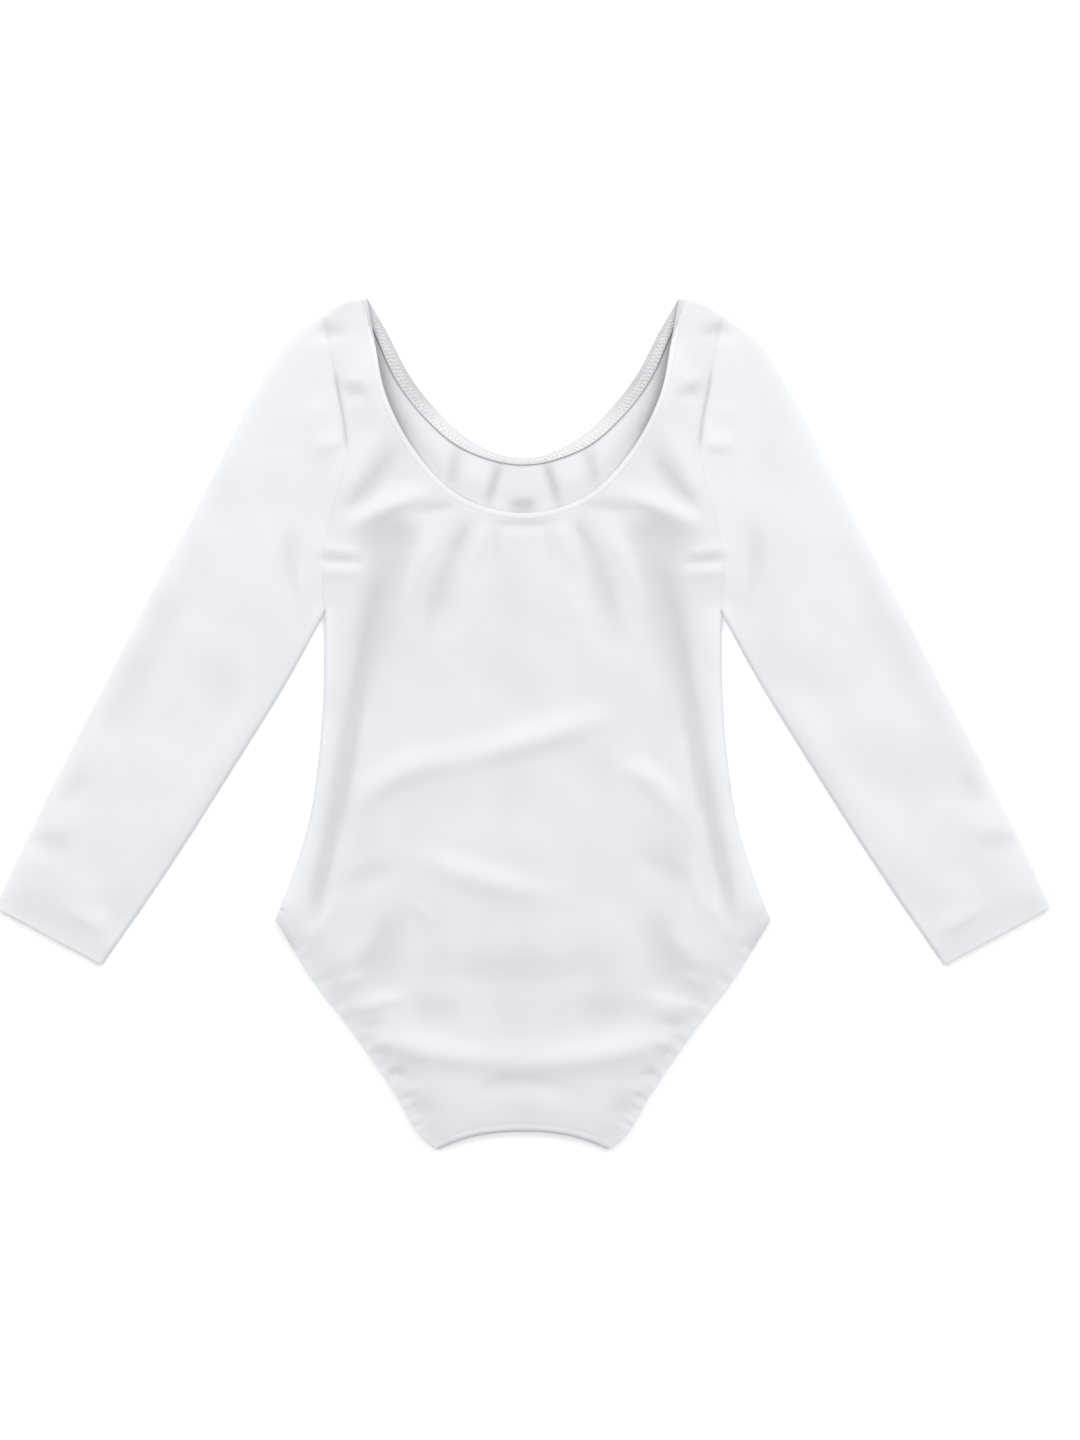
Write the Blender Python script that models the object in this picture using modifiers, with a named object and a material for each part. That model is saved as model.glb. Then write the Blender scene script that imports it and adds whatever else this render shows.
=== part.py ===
"""Child's long-sleeve leotard in plain white stretch knit, laid flat with its front up.

Lengths are in millimetres in the tables and become metres as each mesh is made. X runs to
the wearer's left, Y towards the shoulders from the middle of the garment's outline, and Z
up from the surface that the garment lies on. Tables give the wearer's left half.
"""
from collections import namedtuple

import bmesh
import bpy
import numpy as np

MM = 0.001

# The cloth and how its two layers lie
WALL = 1.2
NECK_WALL = 1.8
BAND_PROUD = 0.35
SEAM_GAP = 0.3
TOP = 6.0
FOLD = TOP / 2
BEND = 3.8
LIP = 0.4
CORNER_RISE = 1.3
CORNER_REACH = 6.0
RIDGE_LIMIT = 4.5
TROUGH_LIMIT = 2.3

# Distances of the points in the bend beside a folded edge, and beside an open one. A panel's
# folded edge has one more, its rim, which stands under an upright lip.
FOLDED = BEND * np.array((0.0, 0.134, 0.5, 1.0))
RIMMED = np.concatenate(([0.0], FOLDED))
OPEN = BEND * np.array((0.0, 0.25, 0.5, 0.75, 1.0))

# Elastic hems: their widths, and how far from its ends a seam line turns square to its edge
LEG_BAND = 7.0
SHOULDER_BAND = 3.6
SEAM_TURN = 28.0
LEG_TURN = 12.0

# Spacing of the points along the garment and across it, on its upper and its lower layer
Spacing = namedtuple("Spacing", "along across")
UPPER = Spacing(12.0, 8.5)
LOWER = Spacing(22.0, 20.0)
SLEEVE_STEP = 20.0
LEG_STEP = 11.0

# Levels at which each panel divides into its straps, and the heights over which its rows
# straighten out above the crotch, below the neckline and below the shoulder
FRONT_SPLIT = 168.0
BACK_SPLIT = 195.0
CROTCH_FADE = 40.0
NECK_FADE = 80.0
SHOULDER_FADE = 30.0

Edge = namedtuple("Edge", "x y")
NeckEdge = namedtuple("NeckEdge", "x y band")
Fold = namedtuple("Fold", "x1 y1 x2 y2 x3 y3 rise spread")

SHOULDER = (
    Edge(92.0, 250.6),
    Edge(104.5, 248.2),
    Edge(118.7, 241.0),
)
SLEEVE_OUTER = (
    Edge(118.7, 241.0),
    Edge(134.0, 230.0),
    Edge(157.3, 195.7),
    Edge(175.0, 160.5),
    Edge(229.9, 54.6),
    Edge(283.7, -51.2),
    Edge(310.7, -108.3),
)
UNDERARM = (
    Edge(116.9, 64.6),
    Edge(131.7, 37.0),
    Edge(174.9, -33.6),
    Edge(209.0, -86.5),
    Edge(247.4, -142.2),
)
ARMHOLE = (
    Edge(116.9, 64.6),
    Edge(117.6, 97.6),
    Edge(112.8, 122.8),
    Edge(104.4, 159.3),
    Edge(109.4, 196.7),
    Edge(118.7, 241.0),
)
SIDE = (
    Edge(145.8, -115.9),
    Edge(137.6, -95.4),
    Edge(126.4, -60.0),
    Edge(120.8, -25.0),
    Edge(117.8, 10.0),
    Edge(116.9, 64.6),
)
LEG = (
    Edge(145.8, -115.9),
    Edge(125.8, -148.2),
    Edge(99.1, -183.5),
    Edge(75.0, -218.8),
    Edge(60.0, -243.0),
    Edge(50.0, -251.0),
)
CROTCH = (
    Edge(50.0, -251.0),
    Edge(33.5, -244.9),
    Edge(12.3, -241.2),
    Edge(0.0, -240.8),
)
NECK_FRONT = (
    NeckEdge(92.0, 250.6, SHOULDER_BAND),
    NeckEdge(88.0, 229.2, 3.2),
    NeckEdge(80.2, 191.6, 3.2),
    NeckEdge(63.4, 159.9, 3.2),
    NeckEdge(36.2, 132.8, 3.2),
    NeckEdge(0.0, 123.4, 3.2),
)
NECK_BACK = (
    NeckEdge(92.0, 250.6, SHOULDER_BAND),
    NeckEdge(80.6, 231.0, 6.5),
    NeckEdge(66.7, 204.6, 8.0),
    NeckEdge(53.2, 186.9, 8.0),
    NeckEdge(35.0, 169.3, 7.0),
    NeckEdge(19.7, 160.5, 5.0),
    NeckEdge(0.0, 156.0, 3.8),
)

# Folds of the upper layer that show alike on both sides
PAIRED_FOLDS = (
    # The cloth stands clear of the back along the sides of the neck
    Fold(90, 232, 84, 196, 62, 160, 3.1, 14),
    # Long tension crease inside each side seam, and the roll beside it
    Fold(76, 106, 88, 64, 97, 12, -2.0, 10),
    Fold(95, 28, 103, -20, 110, -56, -2.1, 6),
    Fold(107, -38, 116, -85, 127, -131, -2.2, 5),
    Fold(90, -8, 98, -49, 106, -90, 0.9, 6),
    # Drag lines from the neck to the armhole and the hollow under them
    Fold(84, 172, 95, 152, 111, 120, 2.3, 7),
    Fold(52, 136, 80, 127, 112, 109, 2.5, 6),
    Fold(73, 163, 89, 139, 105, 122, -1.6, 5),
    Fold(60, 112, 80, 108, 99, 97, -1.8, 10),
    Fold(119, 88, 108, 88, 95, 87, 1.0, 5),
    # Gathers that run down from the front of the neck
    Fold(34, 116, 45, 86, 58, 46, -1.6, 6),
    Fold(47, 116, 62, 91, 73, 60, 1.5, 6),
    Fold(24, 92, 32, 62, 42, 32, 0.9, 6),
    # Cross folds of the strap and of the sleeve's head
    Fold(88, 199, 99, 201, 109, 200, 1.2, 5),
    Fold(101, 227, 115, 230, 126, 226, -1.4, 5),
    Fold(104, 165, 115, 163, 126, 163, 1.1, 5),
    Fold(133, 66, 138, 93, 137, 118, -1.3, 6),
    # Drag towards the leg openings
    Fold(74, -110, 85, -136, 102, -160, -1.5, 11),
    Fold(84, -116, 98, -135, 113, -146, 0.9, 6),
    Fold(70, -162, 86, -165, 103, -171, 1.6, 5),
    # The sleeve: a long shallow trough, the inner roll, the slack at the wrist and the cuff
    Fold(187, 108, 219, 43, 252, -22, -1.1, 10),
    Fold(140, 38, 182, -30, 236, -112, 1.1, 8),
    Fold(267, -74, 280, -71, 293, -70, -1.3, 6),
    Fold(244, -122, 258, -116, 276, -105, 1.2, 6),
)

# Folds of the upper layer that lie across the belly, to one side
SINGLE_FOLDS = (
    Fold(-94, -52, -74, -30, -32, -20, 2.3, 8),
    Fold(-46, -24, 4, -10, 52, 5, 2.7, 8),
    Fold(54, -27, 79, -36, 96, -60, 2.4, 7),
    Fold(-64, -76, -22, -92, 28, -102, 2.3, 8),
    Fold(-110, -101, -92, -91, -70, -84, -1.4, 6),
    Fold(64, -80, 84, -86, 104, -99, -1.3, 6),
    Fold(-70, -142, -6, -147, 58, -142, -1.1, 10),
    Fold(-94, -183, -50, -194, 4, -198, 2.5, 8),
    Fold(-12, -198, 45, -195, 97, -180, 2.5, 8),
    Fold(-33, -219, 0, -211, 34, -220, -1.3, 6),
)

# Gathers of the back below its neckline, where it lifts off the surface
BACK_FOLDS = (
    Fold(0, 142, 40, 147, 66, 192, 2.3, 13),
    Fold(14, 156, 18, 144, 21, 130, -1.1, 5),
    Fold(37, 164, 40, 152, 42, 140, -0.9, 5),
)

PANEL_WHITE = (0.80, 0.81, 0.835, 1.0)
SLEEVE_WHITE = (0.81, 0.82, 0.84, 1.0)
BAND_WHITE = (0.76, 0.77, 0.80, 1.0)


def whole(table):
    """A table that ends at the middle of the garment, carried over to the other side."""
    return list(table) + [row._replace(x=-row.x) for row in reversed(table[:-1])]


def smooth_line(table, steps=14):
    """Points along a smooth curve through every row of a table."""
    rows = np.array(table, float)
    span = np.linalg.norm(np.diff(rows[:, :2], axis=0), axis=1)[:, None]
    slope = np.diff(rows, axis=0) / span
    middle = (slope[:-1] * span[1:] + slope[1:] * span[:-1]) / (span[:-1] + span[1:])
    tangent = np.vstack((slope[:1], middle, slope[-1:]))
    t = np.linspace(0, 1, steps, endpoint=False)[:, None]
    stretches = []
    for i, length in enumerate(span[:, 0]):
        leaving = (1 + 2 * t) * (1 - t) ** 2 * rows[i] + t * (1 - t) ** 2 * length * tangent[i]
        arriving = t ** 2 * (3 - 2 * t) * rows[i + 1] - t ** 2 * (1 - t) * length * tangent[i + 1]
        stretches.append(leaving + arriving)
    return np.vstack(stretches + [rows[-1:]])


def run_of(line):
    """Distance along a line at each of its points."""
    steps = np.linalg.norm(np.diff(line[:, :2], axis=0), axis=1)
    return np.concatenate(([0.0], np.cumsum(steps)))


def along(line, distances):
    """Rows of a line at the given distances from its start."""
    run = run_of(line)
    return np.column_stack([np.interp(distances, run, column) for column in line.T])


def shared(line, shares):
    """Rows of a line at the given shares of its length."""
    return along(line, np.asarray(shares) * run_of(line)[-1])


def squares(line):
    """Unit vectors square to a line, to the left of its run."""
    run = np.gradient(line, axis=0)
    run /= np.linalg.norm(run, axis=1)[:, None]
    return np.column_stack((-run[:, 1], run[:, 0]))


def even(start, end, step):
    """Evenly spaced values from start to end, about a step apart."""
    return np.linspace(start, end, max(1, round(abs(end - start) / step)) + 1)


def mirrored(points):
    return points * np.array((-1.0, 1.0, 1.0)[:points.shape[-1]])


def distance_to(line, points):
    """Distance from each point to a line, and the share of the line where it is nearest."""
    step = np.diff(line, axis=0)
    offset = points[:, None, :] - line[None, :-1]
    share = np.clip((offset * step).sum(axis=2) / (step ** 2).sum(axis=1), 0, 1)
    gap = np.linalg.norm(offset - share[..., None] * step, axis=2)
    nearest = gap.argmin(axis=1)
    every = np.arange(len(points))
    return gap[every, nearest], (nearest + share[every, nearest]) / len(step)


shoulder_line = smooth_line(SHOULDER)
outer_line = smooth_line(SLEEVE_OUTER)
underarm_line = smooth_line(UNDERARM)
armhole_line = smooth_line(ARMHOLE)
side_line = smooth_line(SIDE)
leg_line = smooth_line(LEG)
crotch_line = smooth_line(whole(CROTCH))
front_neck_line = smooth_line(whole(NECK_FRONT))
back_neck_line = smooth_line(whole(NECK_BACK))

# Edges at which the upper layer turns over into the lower one
one_side_lines = (shoulder_line, outer_line, underarm_line, side_line)
folded_lines = [crotch_line, *one_side_lines, *map(mirrored, one_side_lines)]


def bend(points):
    """Share of its full height that the cloth has reached, by distance from a folded edge."""
    gap = np.min([distance_to(line, points)[0] for line in folded_lines], axis=0)
    gap = np.where(gap < 0.5 * SEAM_GAP + 0.05, 0.0, np.minimum(gap, BEND))
    return np.sqrt(1 - (1 - gap / BEND) ** 2)


def fold_line(fold):
    """Nine points on the parabola through a fold's three places."""
    t = np.linspace(0, 1, 9)[:, None]
    first, middle, last = np.array(fold[:6], float).reshape(3, 2)
    return (1 - t) * (1 - 2 * t) * first + 4 * t * (1 - t) * middle + t * (2 * t - 1) * last


def relief(points, folds):
    """Height that a table of folds adds at each point. Each fades out at its ends."""
    total = np.zeros(len(points))
    for fold in folds:
        gap, share = distance_to(fold_line(fold), points)
        fade = np.clip(4 * np.minimum(share, 1 - share), 0, 1)
        total += fold.rise * np.exp(-(gap / fold.spread) ** 2) * fade ** 2 * (3 - 2 * fade)
    return total


def one_side(points):
    return np.column_stack((np.abs(points[:, 0]), points[:, 1]))


def upper_height(points, start):
    """Outer face of the upper layer, which leaves its folded edges a start above the fold."""
    total = relief(points, SINGLE_FOLDS) + relief(one_side(points), PAIRED_FOLDS)
    limit = np.where(total > 0, RIDGE_LIMIT, TROUGH_LIMIT)
    surface = TOP + limit * np.tanh(total / limit)
    return FOLD + start + (surface - FOLD - start) * bend(points)


def lower_height(points, start):
    """Outer face of the lower layer, flat on the surface but for its gathers."""
    lift = np.maximum(relief(one_side(points), BACK_FOLDS), 0)
    return (FOLD - start) * (1 - bend(points)) + lift


def raised(plan, height, start=0.0, proud=0.0):
    """A grid of plan points with their heights as third coordinates."""
    flat = plan.reshape(-1, 2)
    z = height(flat, np.ravel(start)) + proud * bend(flat)
    return np.dstack((plan, z.reshape(plan.shape[:2])))


def seam_parting(plan):
    """How far a panel's folded edge stays from the fold's own height: more at a corner."""
    corners = (SHOULDER[0], SHOULDER[-1], UNDERARM[0])
    away = np.abs(plan[:, :, 0])[:, :, None] - [corner[0] for corner in corners]
    up = plan[:, :, 1][:, :, None] - [corner[1] for corner in corners]
    nearest = np.hypot(away, up).min(axis=2)
    return 0.5 * SEAM_GAP + CORNER_RISE * np.clip(1 - nearest / CORNER_REACH, 0, 1)


def hemmed(line, width):
    """A neck edge and, beside each of its points, its hem's inner side and the panel's seam.

    At its ends the hem runs along the shoulder.
    """
    edge = line[:, :2]
    ways = squares(edge)
    run = run_of(edge)
    shoulder = shoulder_line[3] - shoulder_line[0]
    for corner, crossing in ((0, shoulder), (-1, mirrored(shoulder))):
        unit = crossing / np.linalg.norm(crossing)
        slant = unit / (unit @ ways[corner])
        share = np.clip(np.abs(run - run[corner]) / SEAM_TURN, 0, 1)[:, None]
        ways = slant * (1 - share) + ways * share
    return np.hstack((edge, edge + width * ways, edge + (width + SEAM_GAP) * ways))


def inside_leg(width):
    """The leg edge moved inwards, from hip to crotch, which meets both folds squarely."""
    inward = -squares(leg_line)
    run = run_of(leg_line)
    middle = (leg_line + width * inward)[(run > LEG_TURN) & (run < run[-1] - LEG_TURN)]
    ends = []
    for folded, corner, turn in ((side_line, 0, 1), (crotch_line, -1, -1)):
        way = (folded[3] - folded[0]) / np.linalg.norm(folded[3] - folded[0])
        square = turn * np.array((-way[1], way[0]))
        reach = (width - BEND * square @ inward[corner]) / (way @ inward[corner])
        start = leg_line[corner] + reach * way
        ends.append(np.array((start, start + BEND * square)))
    return np.vstack((ends[0], middle, ends[1][::-1]))


front_hem = hemmed(front_neck_line, front_neck_line[:, 2:])
back_hem = hemmed(back_neck_line, back_neck_line[:, 2:])
leg_hem_line = inside_leg(LEG_BAND)
leg_seam = inside_leg(LEG_BAND + SEAM_GAP)
panel_armhole = armhole_line + 0.5 * SEAM_GAP * squares(armhole_line)
sleeve_armhole = armhole_line - 0.5 * SEAM_GAP * squares(armhole_line)


def fold_to_fold(line, step):
    """Points along a line that starts and ends at folded edges."""
    length = run_of(line)[-1]
    middle = even(BEND, length - BEND, step)[1:-1]
    return along(line, np.concatenate((FOLDED, middle, length - FOLDED[::-1])))


def leg_steps():
    """Spacing that gives the leg's edge, hem and seam the same number of points."""
    count = round(run_of(leg_line)[-1] / LEG_STEP)
    return [(run_of(line)[-1] - 2 * BEND) / count for line in (leg_line, leg_hem_line, leg_seam)]


def armhole_stations(spacing):
    """Distances up the armhole of the rows that panel and sleeve share."""
    length = run_of(armhole_line)[-1]
    return np.concatenate((
        [0.0],
        even(BEND, length - BEND, spacing.along)[:-1],
        length - FOLDED[::-1],
    ))


def strap_foot(split, spacing):
    """Number of the armhole station at which the strap begins."""
    levels = along(panel_armhole, armhole_stations(spacing))[:, 1]
    return int(np.abs(levels - split).argmin())


def neck_stations(hem, split, spacing):
    """Distances along half a neck edge: down the strap, then on to the middle."""
    stations = armhole_stations(spacing)
    foot = strap_foot(split, spacing)
    foot_level = along(panel_armhole, stations)[foot, 1]
    run = run_of(hem)
    right = hem[:, 0] > 0
    foot_distance = np.interp(-foot_level, -hem[right, 5], run[right])
    rows = len(stations) - len(FOLDED) - foot
    strap = np.linspace(BEND, foot_distance, rows + 1)[1:]
    neck = even(foot_distance, run[-1] / 2, spacing.across)[1:]
    return np.concatenate((FOLDED, strap, neck)), len(FOLDED) + rows


def across_strap(outer, inner, columns):
    """Points from an open outer edge to the neck, close together beside the edge."""
    width = np.linalg.norm(inner - outer)
    beyond = np.linspace(BEND, width, columns + 1)[1:]
    shares = np.concatenate((OPEN, beyond))[:, None] / width
    return outer * (1 - shares) + inner * shares


def strap_plan(armhole, neck, columns):
    """Rows of a strap from its foot to the shoulder, each from the armhole to the neck."""
    rows = np.array([across_strap(*ends, columns) for ends in zip(armhole, neck)])
    ends = np.array((neck[-1], armhole[-1]))
    straight = np.interp(rows[-1, :, 0], *ends.T)
    rise = np.interp(rows[-1, :, 0], *shoulder_line.T) - straight
    below = np.linalg.norm(neck - neck[-1], axis=1)
    rows[:, :, 1] += rise * np.clip(1 - below / SHOULDER_FADE, 0, 1)[:, None]
    return np.vstack((rows, rows[-1:]))


def both_sides(plan):
    """Rows that run from the middle to the edge, carried over to the other side."""
    return np.hstack((mirrored(plan[:, :0:-1]), plan))


def body_plans(top_row, levels, hips):
    """Rows of the body's two parts, crotch to hips and hips to top, and which have a rim.

    They keep the spacing of the top row, which is given from the armhole to the middle.
    """
    inner = top_row[len(OPEN) - 1:][::-1]
    shares = inner[:, 0] / inner[-1, 0]
    drop = top_row[0, 1] - inner[:, 1]
    seam_edge = leg_seam[::-1]
    side = side_line[side_line[:, 1] > seam_edge[-1, 1]]
    edge = np.vstack((seam_edge, side[:-1], panel_armhole))
    width = np.interp(levels, edge[:, 1], edge[:, 0])
    lower = levels <= hips
    x = np.where(lower, width, width - BEND)[:, None] * shares
    arch = np.interp(x, crotch_line[::-1, 0], crotch_line[::-1, 1]) - levels[0]
    arch = np.where(x < width[0], arch, 0.0)
    near_crotch = np.clip(1 - (levels - levels[0]) / CROTCH_FADE, 0, 1)[:, None]
    near_neck = np.clip((levels - levels[-1]) / NECK_FADE + 1, 0, 1)[:, None] ** 1.5
    y = levels[:, None] + arch * near_crotch - drop * near_neck
    plan = np.dstack((x, y))

    # Beside its edge a row of the upper part has a few more points, and the hips' row
    # has them along the leg's seam
    rimmed = levels[~lower] <= ARMHOLE[0].y + 0.01
    beside = np.where(rimmed[:, None], RIMMED, OPEN)[:, -2::-1]
    edge_x = width[~lower][:, None] - beside
    edge_y = np.broadcast_to(levels[~lower][:, None], edge_x.shape)
    hip_edge = along(leg_seam, RIMMED)[-2::-1]
    edges = np.vstack((hip_edge[None], np.dstack((edge_x, edge_y))))
    upper = np.hstack((plan[np.count_nonzero(lower) - 1:], edges))
    return both_sides(plan[lower]), both_sides(upper), np.concatenate(([True], rimmed))


def panel(hem, split, spacing, height, side):
    """Grids of a panel's outer face: its lower and upper body, and a strap on each side.

    The side is 1 for the upper layer and -1 for the lower.
    """
    stations, foot = neck_stations(hem, split, spacing)
    neck = along(hem, stations)[:, 4:]
    armhole = along(panel_armhole, armhole_stations(spacing))
    armhole_foot = strap_foot(split, spacing)
    strap_width = armhole[armhole_foot, 0] - neck[foot - 1, 0]
    columns = max(2, round((strap_width - BEND) / spacing.across))
    strap = strap_plan(armhole[armhole_foot:], neck[:foot][::-1], columns)

    hips = leg_seam[1, 1]
    seam_levels = fold_to_fold(leg_seam, leg_steps()[2])[::-1, 1]
    levels = np.concatenate((
        seam_levels[:1],
        seam_levels[seam_levels < hips - 1],
        [hips],
        even(leg_seam[0, 1], ARMHOLE[0].y, spacing.along)[1:],
        armhole[1:armhole_foot + 1, 1],
    ))
    top_row = np.vstack((strap[0], neck[foot:]))
    lower_body, upper_body, rimmed = body_plans(top_row, levels, hips)
    plans = (lower_body, upper_body, strap, mirrored(strap[:, ::-1]))
    rims = [np.zeros(plan.shape[:2], bool) for plan in plans]
    rims[0][0] = True
    rims[1][rimmed, 0] = True
    rims[1][rimmed, -1] = True
    rims[2][-1] = True
    rims[3][-1] = True
    grids = []
    for plan, rim in zip(plans, rims):
        parting = seam_parting(plan)
        grid = raised(plan, height, parting + LIP)
        grid[..., 2] = np.where(rim, FOLD + side * parting, grid[..., 2])
        grids.append(grid)
    # A strap's rows turn to run as the body's do, from the wearer's right to the left
    return grids[:2] + [grid[:, ::-1] for grid in grids[2:]]


def loop(upper, lower, proud=0.0):
    """A flattened loop of cloth: the outer face of its upper stretch and then its lower.

    Each stretch is a grid of plan points that runs from one folded edge to the other. The
    lower one runs back, and leaves out the rows at the folds, which the two share.
    """
    return np.vstack((
        raised(upper, upper_height, proud=proud),
        raised(lower, lower_height)[1:-1],
    ))


def hem_plan(edge, inner):
    """Three lines along a hem: its open edge, its middle and the side by the seam."""
    return np.stack((edge, 0.5 * (edge + inner), inner), axis=1)


def neck_plan(hem, split, spacing):
    """A neck hem's plan at the same stations as its panel's seam."""
    stations = neck_stations(hem, split, spacing)[0]
    right = along(hem, stations)[:, :4]
    left = right[-2::-1] * np.array((-1, 1, -1, 1))
    both = np.vstack((right, left))
    return hem_plan(both[:, :2], both[:, 2:])


def sleeve_plan(spacing):
    """Lines along a sleeve from the underarm to its outer fold, armhole first in each."""
    underarm = np.vstack((sleeve_armhole[:1], underarm_line[1:]))
    outer = np.vstack((sleeve_armhole[-1:], outer_line[1:]))
    cuff = np.array((UNDERARM[-1], SLEEVE_OUTER[-1]), float)
    length = 0.5 * (run_of(underarm)[-1] + run_of(outer)[-1])
    armhole_length = run_of(sleeve_armhole)[-1]
    stations = armhole_stations(spacing)[1:-len(FOLDED) + 1]
    shares = (stations - BEND) / (stations[-1] - BEND)
    slack = armhole_length - np.linalg.norm(outer[0] - underarm[0])
    rows = []
    for s in np.concatenate(([0.0], even(BEND / length, 1, SLEEVE_STEP / length))):
        low, high = shared(underarm, [s])[0], shared(outer, [s])[0]
        width = np.linalg.norm(high - low) + (1 - s) * slack
        inner = BEND + shares * (width - 2 * BEND)
        t = np.concatenate((FOLDED[:-1], inner, width - FOLDED[-2::-1])) / width
        ends = (1 - s) * shared(sleeve_armhole, t) + s * shared(cuff, t)
        t = t[:, None]
        sides = (1 - t) * low + t * high
        at_armhole = (1 - t) * sleeve_armhole[0] + t * sleeve_armhole[-1]
        at_cuff = (1 - t) * cuff[0] + t * cuff[-1]
        rows.append(sides + ends - (1 - s) * at_armhole - s * at_cuff)
    return np.stack(rows, axis=1)


def knit(name, colour):
    """White nylon and elastane jersey."""
    material = bpy.data.materials.new(name)
    material.use_nodes = True
    shader = material.node_tree.nodes["Principled BSDF"]
    shader.inputs["Base Color"].default_value = colour
    shader.inputs["Roughness"].default_value = 0.7
    shader.inputs["Metallic"].default_value = 0.0
    material.diffuse_color = colour
    return material


def make_cloth(name, grids, wall, colour, turned=False, closed=False):
    """A piece of cloth from its outer face, with its wall on the inside.

    A closed grid's last row meets its first. A turned one has its faces the other way round.
    """
    bm = bmesh.new()
    for grid in grids:
        rows = [[bm.verts.new(point * MM) for point in row] for row in grid]
        if closed:
            rows.append(rows[0])
        for lower, upper in zip(rows, rows[1:]):
            for i in range(len(lower) - 1):
                corners = (lower[i], upper[i], upper[i + 1], lower[i + 1])
                bm.faces.new(corners[::-1] if turned else corners)
    bmesh.ops.remove_doubles(bm, verts=bm.verts, dist=0.01 * MM)
    mesh = bpy.data.meshes.new(name)
    bm.to_mesh(mesh)
    bm.free()
    mesh.shade_smooth()
    mesh.materials.append(knit(name, colour))
    piece = bpy.data.objects.new(name, mesh)
    garment.objects.link(piece)
    shell = piece.modifiers.new("Wall", "SOLIDIFY")
    shell.thickness = wall * MM
    shell.offset = -1
    shell.use_even_offset = True


def make_panels():
    front = panel(front_hem, FRONT_SPLIT, UPPER, upper_height, 1)
    back = panel(back_hem, BACK_SPLIT, LOWER, lower_height, -1)
    make_cloth("front_panel", front, WALL, PANEL_WHITE, turned=True)
    make_cloth("back_panel", back, WALL, PANEL_WHITE)


def make_sleeves():
    sleeve = loop(sleeve_plan(UPPER), sleeve_plan(LOWER)[::-1])
    make_cloth("sleeve_left", [sleeve], WALL, SLEEVE_WHITE, turned=True, closed=True)
    make_cloth("sleeve_right", [mirrored(sleeve)], WALL, SLEEVE_WHITE, closed=True)


def make_bands():
    front = neck_plan(front_hem, FRONT_SPLIT, UPPER)
    back = neck_plan(back_hem, BACK_SPLIT, LOWER)[::-1]
    make_cloth("neck_band", [loop(front, back, BAND_PROUD)], NECK_WALL, BAND_WHITE, closed=True)
    lines = zip((leg_line, leg_hem_line), leg_steps())
    plan = hem_plan(*(fold_to_fold(line, step) for line, step in lines))
    left = loop(plan, plan[::-1], BAND_PROUD)
    right = loop(mirrored(plan), mirrored(plan[::-1]), BAND_PROUD)
    make_cloth("leg_band_left", [left], WALL, BAND_WHITE, turned=True, closed=True)
    make_cloth("leg_band_right", [right], WALL, BAND_WHITE, closed=True)


for thing in list(bpy.data.objects):
    bpy.data.objects.remove(thing)
garment = bpy.data.collections.new("long_sleeve_leotard")
bpy.context.scene.collection.children.link(garment)
make_panels()
make_sleeves()
make_bands()
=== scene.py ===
import bpy
import numpy as np
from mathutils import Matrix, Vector


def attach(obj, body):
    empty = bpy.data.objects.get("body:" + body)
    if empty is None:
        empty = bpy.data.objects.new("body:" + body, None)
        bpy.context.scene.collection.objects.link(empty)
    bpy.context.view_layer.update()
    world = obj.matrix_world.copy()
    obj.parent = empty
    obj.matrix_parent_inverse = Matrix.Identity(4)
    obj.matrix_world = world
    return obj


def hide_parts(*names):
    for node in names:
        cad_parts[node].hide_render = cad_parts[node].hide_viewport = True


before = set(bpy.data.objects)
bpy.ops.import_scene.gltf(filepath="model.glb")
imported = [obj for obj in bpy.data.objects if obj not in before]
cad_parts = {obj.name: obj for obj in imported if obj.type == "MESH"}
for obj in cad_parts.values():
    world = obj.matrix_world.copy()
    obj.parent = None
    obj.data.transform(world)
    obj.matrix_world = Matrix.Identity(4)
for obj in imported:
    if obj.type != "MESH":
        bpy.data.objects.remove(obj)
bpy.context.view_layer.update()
mm = 0.001

# the view: straight down on the garment, which the photo shows a little left of centre
view = {
    "centre": (0.0100, 0.0017),
    "distance": 2.0,
    "frameHeight": 0.847,
    "sensor": 36.0,
    "clothLevel": 0.005,
}


def addCamera():
    bpy.ops.object.camera_add(
        location=(*view["centre"], view["distance"] + view["clothLevel"]), rotation=(0, 0, 0)
    )
    camera = bpy.context.object
    camera.data.sensor_width = view["sensor"]
    camera.data.lens = view["sensor"] * view["distance"] / view["frameHeight"]
    bpy.context.scene.camera = camera


addCamera()

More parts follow.
